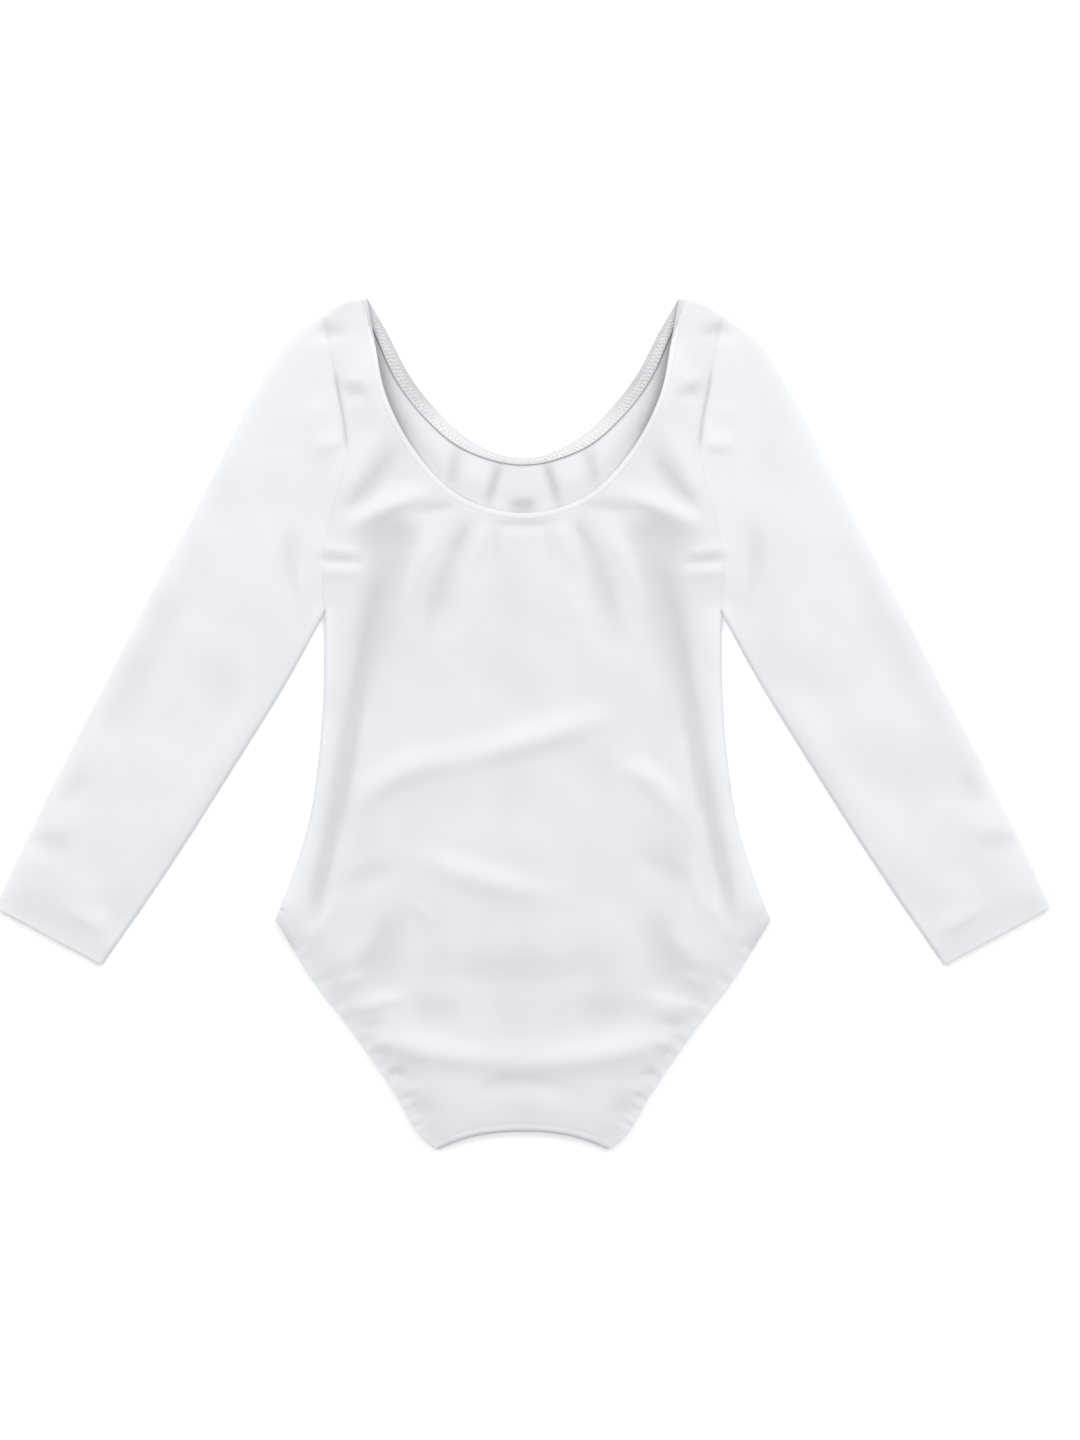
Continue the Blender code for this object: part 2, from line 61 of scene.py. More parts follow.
# the cut: outlines of the wearer's left half, in millimetres from the middle
cut = {
    "shoulder": [(92.0, 250.6), (104.5, 248.2), (118.7, 241.0)],
    "sleeveOuter": [
        (118.7, 241.0), (134.0, 230.0), (157.3, 195.7), (175.0, 160.5), (229.9, 54.6),
        (283.7, -51.2), (310.7, -108.3),
    ],
    "underarm": [
        (116.9, 64.6), (131.7, 37.0), (174.9, -33.6), (209.0, -86.5), (247.4, -142.2),
    ],
    "armhole": [
        (116.9, 64.6), (117.6, 97.6), (112.8, 122.8), (104.4, 159.3), (109.4, 196.7),
        (118.7, 241.0),
    ],
    "side": [
        (145.8, -115.9), (137.6, -95.4), (126.4, -60.0), (120.8, -25.0), (117.8, 10.0),
        (116.9, 64.6),
    ],
    "leg": [
        (145.8, -115.9), (125.8, -148.2), (99.1, -183.5), (75.0, -218.8), (60.0, -243.0),
        (50.0, -251.0),
    ],
    "crotch": [(50.0, -251.0), (33.5, -244.9), (12.3, -241.2), (0.0, -240.8)],
    # The neck's rows end with the width of its hem
    "neckFront": [
        (92.0, 250.6, 3.6), (88.0, 229.2, 3.2), (80.2, 191.6, 3.2), (63.4, 159.9, 3.2),
        (36.2, 132.8, 3.2), (0.0, 123.4, 3.2),
    ],
    "neckBack": [
        (92.0, 250.6, 3.6), (80.6, 231.0, 6.5), (66.7, 204.6, 8.0), (53.2, 186.9, 8.0),
        (35.0, 169.3, 7.0), (19.7, 160.5, 5.0), (0.0, 156.0, 3.8),
    ],
}

# how the cloth lies: heights of its layers, and how it turns over at its folded edges
lie = {
    "top": 6.0,
    "fold": 2.5,
    "bend": 2.6,
    "parting": 0.06,        # half the gap between the layers at a folded edge
    "edgeSlack": 0.15,
    "seamGap": 0.04,
    "backSeamGap": 0.26,
    "edgeDrop": 1.1,        # the layers draw together towards folded edges
    "edgeReach": 12.0,
    "openDrop": 2.1,        # and more so at the cuffs and the leg openings
    "openReach": 13.0,
    "seamDip": 0.85,
    "seamReach": 1.3,
    "ridgeLimit": 4.6,
    "troughLimit": 3.2,
    "floorTop": 2.35,       # the upper layer never sinks into the lower one
    "wall": 0.9,
}

# creases of the upper layer that show alike on both sides:
# three places along each, then its rise, and its reach to the left and right of its run
pairedCreases = [
    # the cloth stands clear of the back along the sides of the neck
    (90, 232, 84, 196, 62, 160, 3.4, 13, 13),
    # long tension crease inside the side seam, its sharp middle, and a ridge beside it
    (72, 122, 86, 70, 99, -2, -2.3, 9, 15),
    (80, 98, 92, 46, 101, -6, -2.8, 2.8, 3.4),
    (92, 46, 103, -20, 112, -72, -2.7, 6, 4.6),
    (105, -28, 116, -85, 127, -129, -3.2, 5, 2.6),
    (88, 6, 98, -49, 107, -98, 0.8, 6, 6),
    (110, -98, 117, -116, 126, -132, 1.5, 2.4, 3),
    # drag lines from the neck to the armhole, and the hollow under them
    (80, 180, 95, 152, 113, 116, 2.0, 8, 6),
    (46, 137, 80, 127, 115, 108, 2.2, 7, 5),
    (70, 168, 89, 139, 107, 120, -2.1, 5, 5),
    (54, 113, 80, 108, 103, 94, -2.4, 10, 13),
    (94, 99, 110, 101.5, 126, 102, 0.8, 3.5, 2.6),
    (90, 87, 108, 88.5, 124, 88, 0.8, 4, 3),
    (88, 94, 106, 95, 124, 95, -1.0, 2.6, 2.6),
    (32, 126, 51, 126, 66, 119, -0.9, 4, 4),
    # gathers that run down from the neck
    (30, 126, 45, 86, 62, 34, -1.7, 5.5, 6),
    (43, 122, 62, 91, 76, 52, 1.1, 5.5, 5.5),
    (20, 100, 32, 62, 45, 22, 0.7, 6, 6),
    (30, 121, 36, 108, 42, 96, -0.9, 2.4, 2.6),
    (23, 119, 26, 105, 31, 84, 1.0, 3, 4),
    (14, 119, 15, 105, 18, 89, -0.6, 2.5, 3),
    # folds across the strap and the sleeve's head
    (88, 199, 99, 201, 109, 200, 1.2, 5, 2.8),
    (86, 191, 98, 193, 108, 192, -0.8, 3, 4),
    (101, 227, 115, 230, 126, 226, -1.6, 4.5, 3.4),
    (114, 219, 115, 230, 117, 239, -1, 2, 2),
    (104, 165, 115, 163, 126, 163, 1.2, 6, 2.6),
    (113, 189, 121, 183, 131, 172, 0.6, 6, 5),
    # soft fold of the sleeve by the armpit
    (133, 66, 138, 93, 137, 118, -1.3, 5, 4),
    (129, 65, 131, 81, 130, 96, 0.9, 3, 3),
    # gathers from the leg openings
    (64, -160, 86, -165, 108, -172, 1.2, 4.5, 3.4),
    (70, -102, 85, -136, 106, -168, -1.6, 10, 12),
    (84, -116, 98, -135, 113, -146, 0.9, 5, 6),
    (26, -158, 50, -171, 72, -160, -0.8, 9, 9),
    (89, -148, 101, -151, 111, -157, 0.8, 3, 2.6),
    (77, -177, 88, -178, 95, -182, -0.8, 3, 3),
    (74, -186, 82, -189, 86, -194, 0.9, 3, 2.2),
    (65, -209, 75, -206, 81, -209, -0.8, 3, 3),
    (55, -217, 66, -216, 74, -219, 0.7, 4, 3),
    (45, -229, 58, -228, 66, -231, -0.5, 4, 4),
    # long shallow trough of the sleeve, and a ridge inside its folded underarm
    (187, 108, 219, 43, 252, -22, -1.1, 10, 9),
    (140, 38, 182, -30, 236, -112, 1.1, 10, 6),
    # slack over the wrist, and the bulge above the cuff's hem
    (256, -26, 265, -40, 272, -52, -0.9, 5, 6),
    (263, -76, 280, -71, 297, -70, -1.0, 5, 6),
    (254, -60, 271, -62, 286, -60, 0.5, 5, 5),
    (234, -90, 255, -98, 276, -92, 0.5, 8, 7),
    (239, -125, 257, -117, 280, -103, 0.9, 9, 2.6),
]

# creases that lie to one side
singleCreases = [
    (-97, -60, -76, -31, -22, -19, 2.5, 9, 7.5),
    (-62, -28, 4, -10, 62, 8, 2.6, 9, 7.5),
    (48, -25, 79, -36, 97, -72, 2.3, 7, 7.5),
    (-72, -72, -22, -92, 38, -104, 2.1, 8, 8),
    (-112, -103, -92, -91, -64, -82, -0.9, 7, 7),
    (58, -78, 84, -86, 106, -101, -0.8, 7, 7),
    (98, -75, 104, -98, 113, -122, 0.9, 4, 5),
    (-86, -138, -6, -147, 74, -138, -1.1, 12, 10),
    (-98, -180, -52, -194, 14, -199, 2.5, 9, 7),
    (-24, -198.5, 45, -195.5, 100, -178, 2.4, 9, 7),
    (-40, -222, 0, -211, 40, -223, -1.2, 6, 6),
    (-26, 120, 0, 116, 28, 120, -0.8, 3, 4),
    (69, -170, 83, -170, 98, -175, 0.8, 4, 3),
    (-68, -107, -58, -111, -51, -124, 0.5, 3, 2),
]

# the lower layer lifts off the surface below its neckline, in pleats, and here and there
backCreases = [
    (0, 142, 40, 147, 66, 192, 2.8, 14, 13),
    (74, 226, 62, 200, 44, 178, 1.3, 6, 8),
    (11.5, 158, 17, 142, 23, 118, -1.4, 2.6, 3.0),
    (36, 166, 41, 150, 43, 130, -0.9, 3.6, 5.0),
    (-12, 131, 0, 129, 12, 131, -1.7, 4, 6),
    (30, -40, 62, -62, 96, -70, 0.8, 6, 9),
    (20, 60, 40, 20, 44, -20, 0.7, 8, 7),
    (30, -170, 60, -168, 92, -160, 0.9, 6, 5),
]


def smoothLine(table, steps=14):
    rows = np.array(table, float)
    span = np.linalg.norm(np.diff(rows[:, :2], axis=0), axis=1)[:, None]
    slope = np.diff(rows, axis=0) / span
    middle = (slope[:-1] * span[1:] + slope[1:] * span[:-1]) / (span[:-1] + span[1:])
    tangent = np.vstack((slope[:1], middle, slope[-1:]))
    t = np.linspace(0, 1, steps, endpoint=False)[:, None]
    stretches = []
    for i, length in enumerate(span[:, 0]):
        leaving = (1 + 2 * t) * (1 - t) ** 2 * rows[i] + t * (1 - t) ** 2 * length * tangent[i]
        arriving = t ** 2 * (3 - 2 * t) * rows[i + 1] - t ** 2 * (1 - t) * length * tangent[i + 1]
        stretches.append(leaving + arriving)
    return np.vstack(stretches + [rows[-1:]])


def wholeLine(table):
    return smoothLine(table + [(-row[0], *row[1:]) for row in reversed(table[:-1])])


def mirrored(points):
    return points * np.array((-1.0, 1.0, 1.0)[:points.shape[-1]])


def runOf(line):
    steps = np.linalg.norm(np.diff(line[:, :2], axis=0), axis=1)
    return np.concatenate(([0.0], np.cumsum(steps)))


def along(line, distances):
    run = runOf(line)
    return np.column_stack([np.interp(distances, run, column) for column in line.T])


def shared(line, shares):
    return along(line, np.asarray(shares) * runOf(line)[-1])


def squares(line):
    run = np.gradient(line, axis=0)
    run /= np.linalg.norm(run, axis=1)[:, None]
    return np.column_stack((-run[:, 1], run[:, 0]))


def even(start, end, step):
    return np.linspace(start, end, max(1, round(abs(end - start) / step)) + 1)


def nearestOn(line, points):
    # distance to a line, signed with its left side as positive, and the share of the line
    gap = np.full(len(points), 1e9)
    share = np.zeros(len(points))
    side = np.ones(len(points))
    for i, (a, b) in enumerate(zip(line[:-1], line[1:])):
        step = b - a
        offset = points - a
        t = np.clip(offset @ step / (step @ step), 0, 1)
        away = offset - t[:, None] * step
        distance = np.hypot(away[:, 0], away[:, 1])
        closer = distance < gap
        gap[closer] = distance[closer]
        share[closer] = (i + t[closer]) / (len(line) - 1)
        cross = step[0] * offset[:, 1] - step[1] * offset[:, 0]
        side[closer] = np.where(cross[closer] >= 0, 1.0, -1.0)
    return gap, share, side


shoulderLine = smoothLine(cut["shoulder"])
outerLine = smoothLine(cut["sleeveOuter"])
underarmLine = smoothLine(cut["underarm"])
armholeLine = smoothLine(cut["armhole"])
sideLine = smoothLine(cut["side"])
legLine = smoothLine(cut["leg"])
crotchLine = wholeLine(cut["crotch"])
neckFrontLine = wholeLine(cut["neckFront"])
neckBackLine = wholeLine(cut["neckBack"])
foldedLines = [crotchLine, shoulderLine, outerLine, underarmLine, sideLine]


def oneSide(points):
    return np.column_stack((np.abs(points[:, 0]), points[:, 1]))


def foldGap(points):
    near = oneSide(points)
    return np.min([nearestOn(line, near)[0] for line in foldedLines], axis=0)


def bendShare(gap):
    # how much of its full height the cloth has reached, by distance from a folded edge
    gap = np.where(gap < lie["edgeSlack"], 0.0, np.minimum(gap, lie["bend"]))
    return np.sqrt(1 - (1 - gap / lie["bend"]) ** 2)


def creaseLine(crease):
    t = np.linspace(0, 1, 13)[:, None]
    first, middle, last = np.array(crease[:6], float).reshape(3, 2)
    return (1 - t) * (1 - 2 * t) * first + 4 * t * (1 - t) * middle + t * (2 * t - 1) * last


def relief(points, creases):
    total = np.zeros(len(points))
    for crease in creases:
        line = creaseLine(crease)
        rise, left, right = crease[6:]
        reach = 3 * max(left, right)
        low = line.min(axis=0) - reach
        high = line.max(axis=0) + reach
        near = np.flatnonzero(((points > low) & (points < high)).all(axis=1))
        if not len(near):
            continue
        gap, share, side = nearestOn(line, points[near])
        spread = np.where(side > 0, left, right)
        fade = np.clip(2.4 * np.minimum(share, 1 - share), 0, 1)
        total[near] += rise * np.exp(-(gap / spread) ** 2) * fade ** 2 * (3 - 2 * fade)
    return total


waves = {"seed": 7, "count": 14, "rise": 0.10, "longest": 120.0, "shortest": 26.0}


def unevenness(points, seed=0):
    # slight rolling of cloth that was handled and laid down
    rng = np.random.default_rng(waves["seed"] + seed)
    total = np.zeros(len(points))
    for length in np.geomspace(waves["longest"], waves["shortest"], waves["count"]):
        turn, phase = rng.uniform(0, 2 * np.pi, 2)
        way = np.array((np.cos(turn), np.sin(turn))) * 2 * np.pi / length
        total += np.sin(points @ way + phase) * waves["rise"] * (length / waves["longest"]) ** 0.3
    return total


shoulderTurn = 28.0         # the neck's hem turns square to its edge over this run


def hemmed(line, width, gap):
    # a neck edge and, beside each of its points, its hem's inner side and the panel's seam
    edge = line[:, :2]
    ways = squares(edge)
    run = runOf(edge)
    shoulder = shoulderLine[3] - shoulderLine[0]
    for corner, crossing in ((0, shoulder), (-1, mirrored(shoulder))):
        unit = crossing / np.linalg.norm(crossing)
        slant = unit / (unit @ ways[corner])
        share = np.clip(np.abs(run - run[corner]) / shoulderTurn, 0, 1)[:, None]
        ways = slant * (1 - share) + ways * share
    return np.hstack((edge, edge + width * ways, edge + (width + gap) * ways))


legHemWidth = 7.0
legTurn = 12.0


def insideLeg(width):
    inward = -squares(legLine)
    run = runOf(legLine)
    middle = (legLine + width * inward)[(run > legTurn) & (run < run[-1] - legTurn)]
    ends = []
    for folded, corner, turn in ((sideLine, 0, 1), (crotchLine, -1, -1)):
        way = (folded[3] - folded[0]) / np.linalg.norm(folded[3] - folded[0])
        square = turn * np.array((-way[1], way[0]))
        reach = (width - lie["bend"] * square @ inward[corner]) / (way @ inward[corner])
        start = legLine[corner] + reach * way
        ends.append(np.array((start, start + lie["bend"] * square)))
    return np.vstack((ends[0], middle, ends[1][::-1]))


frontHem = hemmed(neckFrontLine, neckFrontLine[:, 2:], lie["seamGap"])
backHem = hemmed(neckBackLine, neckBackLine[:, 2:], lie["backSeamGap"])
legHemLine = insideLeg(legHemWidth)
legSeam = insideLeg(legHemWidth + lie["seamGap"])
panelArmhole = armholeLine + 0.5 * lie["seamGap"] * squares(armholeLine)
sleeveArmhole = armholeLine - 0.5 * lie["seamGap"] * squares(armholeLine)


def between(values, low, high, soft):
    # 1 inside a range of values, fading to 0 over a soft distance outside it
    return np.clip((values - low) / soft + 1, 0, 1) * np.clip((high - values) / soft + 1, 0, 1)


seams = {"pleatLow": 168.0, "pleatHigh": 200.0, "faint": 0.08, "neckDip": 0.05, "neckReach": 1.5,
         "crotchSeam": 4.4, "crotchDip": 0.14, "crotchReach": 0.9}
cuffLine = np.array((cut["underarm"][-1], cut["sleeveOuter"][-1]), float)
cuffHem = {"deep": 14.0, "rise": 0.10, "soft": 1.6, "dip": 0.12, "reach": 0.9, "from": 200.0}


def seamDips(points):
    # how far the outer face is drawn down beside its seams
    near = oneSide(points)
    pleat = between(near[:, 1], seams["pleatLow"], seams["pleatHigh"], 14.0)
    depth = lie["seamDip"] * (seams["faint"] + (1 - seams["faint"]) * pleat)
    gap = nearestOn(armholeLine, near)[0]
    dip = depth * np.exp(-(gap / lie["seamReach"]) ** 2)
    gap = nearestOn(frontHem[:, 4:], near)[0]
    dip += seams["neckDip"] * np.exp(-(gap / seams["neckReach"]) ** 2)
    return dip


def crotchDip(points):
    gap = nearestOn(crotchLine, points)[0]
    return seams["crotchDip"] * np.exp(-((gap - seams["crotchSeam"]) / seams["crotchReach"]) ** 2)


def cuffRise(points):
    # the doubled cloth of a cuff's hem, with a shallow groove where it is sewn
    near = oneSide(points)
    gap = nearestOn(cuffLine, near)[0]
    step = np.clip((cuffHem["deep"] - gap) / cuffHem["soft"] + 0.5, 0, 1)
    groove = np.exp(-((gap - cuffHem["deep"]) / cuffHem["reach"]) ** 2)
    return np.where(near[:, 0] > cuffHem["from"], cuffHem["rise"] * step - cuffHem["dip"] * groove, 0.0)


gathers = {"rise": 0.17, "reach": 10.0, "pitch": 6.7, "second": 10.9, "shift": 1.3}


def legGathers(points):
    # small uneven gathers where the leg's elastic draws the cloth in
    gap, share, side = nearestOn(legLine, oneSide(points))
    run = share * runOf(legLine)[-1]
    ripple = np.sin(2 * np.pi * run / gathers["pitch"])
    ripple += np.sin(2 * np.pi * run / gathers["second"] + gathers["shift"])
    ends = between(share, 0.10, 0.93, 0.08)
    return gathers["rise"] * ripple * ends * np.exp(-(gap / gathers["reach"]) ** 2)


def upperRelief(points):
    total = relief(points, singleCreases) + relief(oneSide(points), pairedCreases)
    return total + unevenness(points) + legGathers(points)


def edgeDrop(points, gap):
    near = oneSide(points)
    opening = np.minimum(nearestOn(cuffLine, near)[0], nearestOn(legLine, near)[0])
    drop = lie["edgeDrop"] * np.exp(-(gap / lie["edgeReach"]) ** 2)
    return np.maximum(drop, lie["openDrop"] * np.exp(-(opening / lie["openReach"]) ** 2))


def upperHeight(points):
    gap = foldGap(points)
    total = upperRelief(points)
    limit = np.where(total > 0, lie["ridgeLimit"], lie["troughLimit"])
    surface = lie["top"] + limit * np.tanh(total / limit) - edgeDrop(points, gap)
    surface += cuffRise(points) - seamDips(points) - crotchDip(points)
    low = lie["fold"] + lie["parting"]
    return low + (np.maximum(surface, lie["floorTop"]) - low) * bendShare(gap)


def lowerRelief(points):
    lift = relief(oneSide(points), backCreases) + np.maximum(legGathers(points), 0)
    return np.maximum(lift, 0)


def lowerHeight(points):
    low = lie["fold"] - lie["parting"]
    return low * (1 - bendShare(foldGap(points))) + lowerRelief(points)


def raised(plan, height):
    flat = plan.reshape(-1, 2)
    return np.dstack((plan, height(flat).reshape(plan.shape[:2])))


# meshes: a grid primitive shaped point by point, its plan kept as the UV map in metres
def clothGrid(name, points, uv):
    rows, columns = points.shape[:2]
    bpy.ops.object.select_all(action="DESELECT")
    bpy.ops.mesh.primitive_grid_add(x_subdivisions=columns - 1, y_subdivisions=rows - 1, size=1)
    piece = bpy.context.object
    piece.name = name
    mesh = piece.data
    mesh.name = name
    mesh.vertices.foreach_set("co", (points * mm).ravel())
    corner = np.empty(len(mesh.loops), int)
    mesh.loops.foreach_get("vertex_index", corner)
    mesh.uv_layers[0].data.foreach_set("uv", (uv.reshape(-1, 2)[corner] * mm).ravel())
    mesh.update()
    return piece


def sewTogether(name, parts, wall):
    # joins the grids of one piece, closes the rows they share and gives the cloth its wall
    bpy.ops.object.select_all(action="DESELECT")
    for part in parts:
        part.select_set(True)
    bpy.context.view_layer.objects.active = parts[0]
    if len(parts) > 1:
        bpy.ops.object.join()
    piece = bpy.context.object
    piece.name = name
    piece.data.name = name
    bpy.ops.object.mode_set(mode="EDIT")
    bpy.ops.mesh.select_all(action="SELECT")
    bpy.ops.mesh.remove_doubles(threshold=0.01 * mm)
    bpy.ops.mesh.select_all(action="DESELECT")
    bpy.ops.object.mode_set(mode="OBJECT")
    shell = piece.modifiers.new("Wall", "SOLIDIFY")
    shell.thickness = wall * mm
    shell.offset = -1
    shell.use_even_offset = True
    bpy.ops.object.modifier_apply(modifier=shell.name)
    bpy.ops.object.shade_smooth_by_angle(angle=np.radians(55))
    return piece


# panels
panelGrid = {"rowStep": 2.2, "columnStep": 2.2, "backStep": 2.6, "frontSplit": 168.0,
             "backSplit": 195.0, "crotchRows": 8.0, "crotchFade": 40.0, "neckFade": 80.0,
             "shoulderFade": 30.0, "fineRows": 42.0, "fineStep": 1.3}
edgeShares = np.array((0.0, 0.04, 0.134, 0.29, 0.5, 0.74, 1.0))
seamSteps = np.array((0.0, 0.5, 1.1, 1.9, 3.0))


def panelPlans(hem, split, step):
    # rows of a body from the crotch to the neck, and of its left strap up to the shoulder
    bend = lie["bend"]
    neckSeam = hem[:, 4:]
    run = runOf(neckSeam)
    half = run[-1] / 2
    right = neckSeam[:, 0] > 0
    foot = np.interp(-split, -neckSeam[right, 1], run[right])
    footPoint = along(neckSeam, [foot])[0]
    armholeFoot = np.interp(split, panelArmhole[:, 1], runOf(panelArmhole))
    rows = max(4, round((runOf(panelArmhole)[-1] - armholeFoot) / step))
    topStations = bend * edgeShares
    down = np.concatenate((topStations, np.linspace(bend, foot, rows + 1)[1:]))[::-1]
    armRun = runOf(panelArmhole)[-1]
    up = np.concatenate((np.linspace(armholeFoot, armRun - bend, rows + 1), armRun - topStations[-2::-1]))
    neckSide = along(neckSeam, down)
    armSide = along(panelArmhole, up)

    width = armSide[0, 0] - footPoint[0]
    inner = even(bend, width - seamSteps[-1], step)
    fromArm = np.concatenate((bend * edgeShares[:-1], inner, width - seamSteps[-2::-1])) / width
    strap = armSide[:, None] * (1 - fromArm[None, :, None]) + neckSide[:, None] * fromArm[None, :, None]
    ends = np.array((neckSide[-1], armSide[-1]))
    straight = np.interp(strap[-1, :, 0], *ends.T)
    rise = np.interp(strap[-1, :, 0], *shoulderLine.T) - straight
    below = np.linalg.norm(neckSide - neckSide[-1], axis=1)
    strap[:, :, 1] += rise * np.clip(1 - below / panelGrid["shoulderFade"], 0, 1)[:, None]

    neckRow = along(neckSeam, even(foot, half, step)[1:])
    topRow = np.vstack((strap[0], neckRow))
    levels = np.concatenate((
        even(legSeam[-1, 1], legSeam[-1, 1] + panelGrid["crotchRows"], 0.8)[:-1],
        even(legSeam[-1, 1] + panelGrid["crotchRows"], split - panelGrid["fineRows"], step)[:-1],
        even(split - panelGrid["fineRows"], split - seamSteps[-1], panelGrid["fineStep"]),
        split - seamSteps[-2::-1],
    ))
    edge = np.vstack((legSeam[::-1], sideLine[sideLine[:, 1] > legSeam[0, 1]][:-1], panelArmhole))
    edgeX = np.interp(levels, edge[:, 1], edge[:, 0])
    count = len(edgeShares)
    inner = topRow[count - 1:]
    shares = inner[:, 0] / inner[0, 0]
    x = (edgeX - bend)[:, None] * shares
    x = np.hstack((edgeX[:, None] - bend * edgeShares[:-1], x))
    drop = topRow[0, 1] - topRow[:, 1]
    arch = np.interp(x, crotchLine[::-1, 0], crotchLine[::-1, 1]) - levels[0]
    arch = np.where(x < edgeX[0], arch, 0.0)
    nearCrotch = np.clip(1 - (levels - levels[0]) / panelGrid["crotchFade"], 0, 1)[:, None]
    nearNeck = np.clip((levels - levels[-1]) / panelGrid["neckFade"] + 1, 0, 1)[:, None] ** 1.5
    y = levels[:, None] + arch * nearCrotch - drop * nearNeck
    body = np.dstack((x, y))[:, ::-1]
    return np.hstack((mirrored(body[:, :0:-1]), body)), strap[:, ::-1]


def makePanel(name, hem, split, step, height, wall, facing):
    body, strap = panelPlans(hem, split, step)
    parts = []
    for plan in (body, strap, mirrored(strap[:, ::-1])):
        plan = plan if facing > 0 else plan[:, ::-1]
        parts.append(clothGrid(name, raised(plan, height), plan))
    return sewTogether(name, parts, wall)


frontPanel = makePanel("frontPanel", frontHem, panelGrid["frontSplit"], panelGrid["rowStep"],
                       upperHeight, lie["wall"], 1)
print("front panel", len(frontPanel.data.polygons))
backPanel = makePanel("backPanel", backHem, panelGrid["backSplit"], panelGrid["backStep"],
                      lowerHeight, lie["wall"], -1)
print("back panel", len(backPanel.data.polygons))

# sleeves
sleeveGrid = {"acrossStep": 2.4, "alongStep": 3.0}


def sleevePlan():
    bend = lie["bend"]
    underarm = np.vstack((sleeveArmhole[:1], underarmLine[1:]))
    outer = np.vstack((sleeveArmhole[-1:], outerLine[1:]))
    length = 0.5 * (runOf(underarm)[-1] + runOf(outer)[-1])
    armLength = runOf(sleeveArmhole)[-1]
    inner = even(bend, armLength - bend, sleeveGrid["acrossStep"])
    innerShares = (inner - bend) / (inner[-1] - bend)
    slack = armLength - np.linalg.norm(outer[0] - underarm[0])
    onward = even(seamSteps[-1], length, sleeveGrid["alongStep"])[1:]
    stations = np.concatenate((seamSteps, onward)) / length
    columns = []
    local = []
    for s in stations:
        low, high = shared(underarm, [s])[0], shared(outer, [s])[0]
        width = np.linalg.norm(high - low) + (1 - s) * slack
        across = np.concatenate((
            bend * edgeShares[:-1],
            bend + innerShares * (width - 2 * bend),
            width - bend * edgeShares[-2::-1],
        ))
        t = across / width
        ends = (1 - s) * shared(sleeveArmhole, t) + s * shared(cuffLine, t)
        t = t[:, None]
        sides = (1 - t) * low + t * high
        atArmhole = (1 - t) * sleeveArmhole[0] + t * sleeveArmhole[-1]
        atCuff = (1 - t) * cuffLine[0] + t * cuffLine[-1]
        columns.append(sides + ends - (1 - s) * atArmhole - s * atCuff)
        local.append(np.column_stack((across - width / 2, np.full(len(across), -s * length))))
    return np.stack(columns, axis=1), np.stack(local, axis=1)


def makeSleeve(name, side):
    plan, local = sleevePlan()
    if side < 0:
        plan = mirrored(plan)
    upper = raised(plan, upperHeight)
    lower = raised(plan[::-1], lowerHeight)[1:-1]
    points = np.concatenate((upper, lower, upper[:1]))
    width = np.ptp(local[..., 0])
    under = local[::-1][1:-1].copy()
    under[..., 0] = width - under[..., 0]
    last = local[:1].copy()
    last[..., 0] += 2 * width
    uv = np.concatenate((local, under, last))
    if side < 0:
        points, uv = points[:, ::-1], uv[:, ::-1]
    return sewTogether(name, [clothGrid(name, points, uv)], lie["wall"])


sleeveLeft = makeSleeve("sleeveLeft", 1)
sleeveRight = makeSleeve("sleeveRight", -1)
print("sleeves", len(sleeveLeft.data.polygons))

# elastic hems
hemForm = {"step": 1.6, "neckWall": 1.3, "legWall": 0.9, "proud": 0.10, "across": 7,
           "fullness": 0.7, "neckWidth": 6.0}


def hemPlan(edge, inner):
    t = 0.5 - 0.5 * np.cos(np.linspace(0, np.pi, hemForm["across"]))
    return edge[:, None] * (1 - t[None, :, None]) + inner[:, None] * t[None, :, None]


def crowned(plan, height, rise):
    # a turned hem is full in its middle and pulled down along its sewn side
    points = raised(plan, height)
    crown = np.abs(np.sin(np.pi * np.linspace(0, 1, plan.shape[1]))) ** hemForm["fullness"]
    bent = bendShare(foldGap(plan.reshape(-1, 2))).reshape(plan.shape[:2])
    points[..., 2] += rise * crown * bent
    return points


def hemStations(length, step):
    bend = lie["bend"]
    inner = even(bend, length - bend, step)
    return np.concatenate((bend * edgeShares[:-1], inner, length - bend * edgeShares[-2::-1]))


def neckSide(hem):
    stations = hemStations(runOf(hem)[-1], hemForm["step"])
    rows = along(hem, stations)
    return hemPlan(rows[:, :2], rows[:, 2:4]), stations


def makeNeckBand():
    front, frontRun = neckSide(frontHem)
    back, backRun = neckSide(backHem)
    upper = crowned(front, upperHeight, hemForm["proud"])
    lower = raised(back[::-1], lowerHeight)[1:-1]
    points = np.concatenate((upper, lower, upper[:1]))
    total = np.concatenate((frontRun, frontRun[-1] + backRun[1:]))
    across = np.linspace(0, hemForm["neckWidth"], hemForm["across"])
    uv = np.dstack(np.meshgrid(across, total))
    return sewTogether("neckBand", [clothGrid("neckBand", points[:, ::-1], uv[:, ::-1])],
                       hemForm["neckWall"])


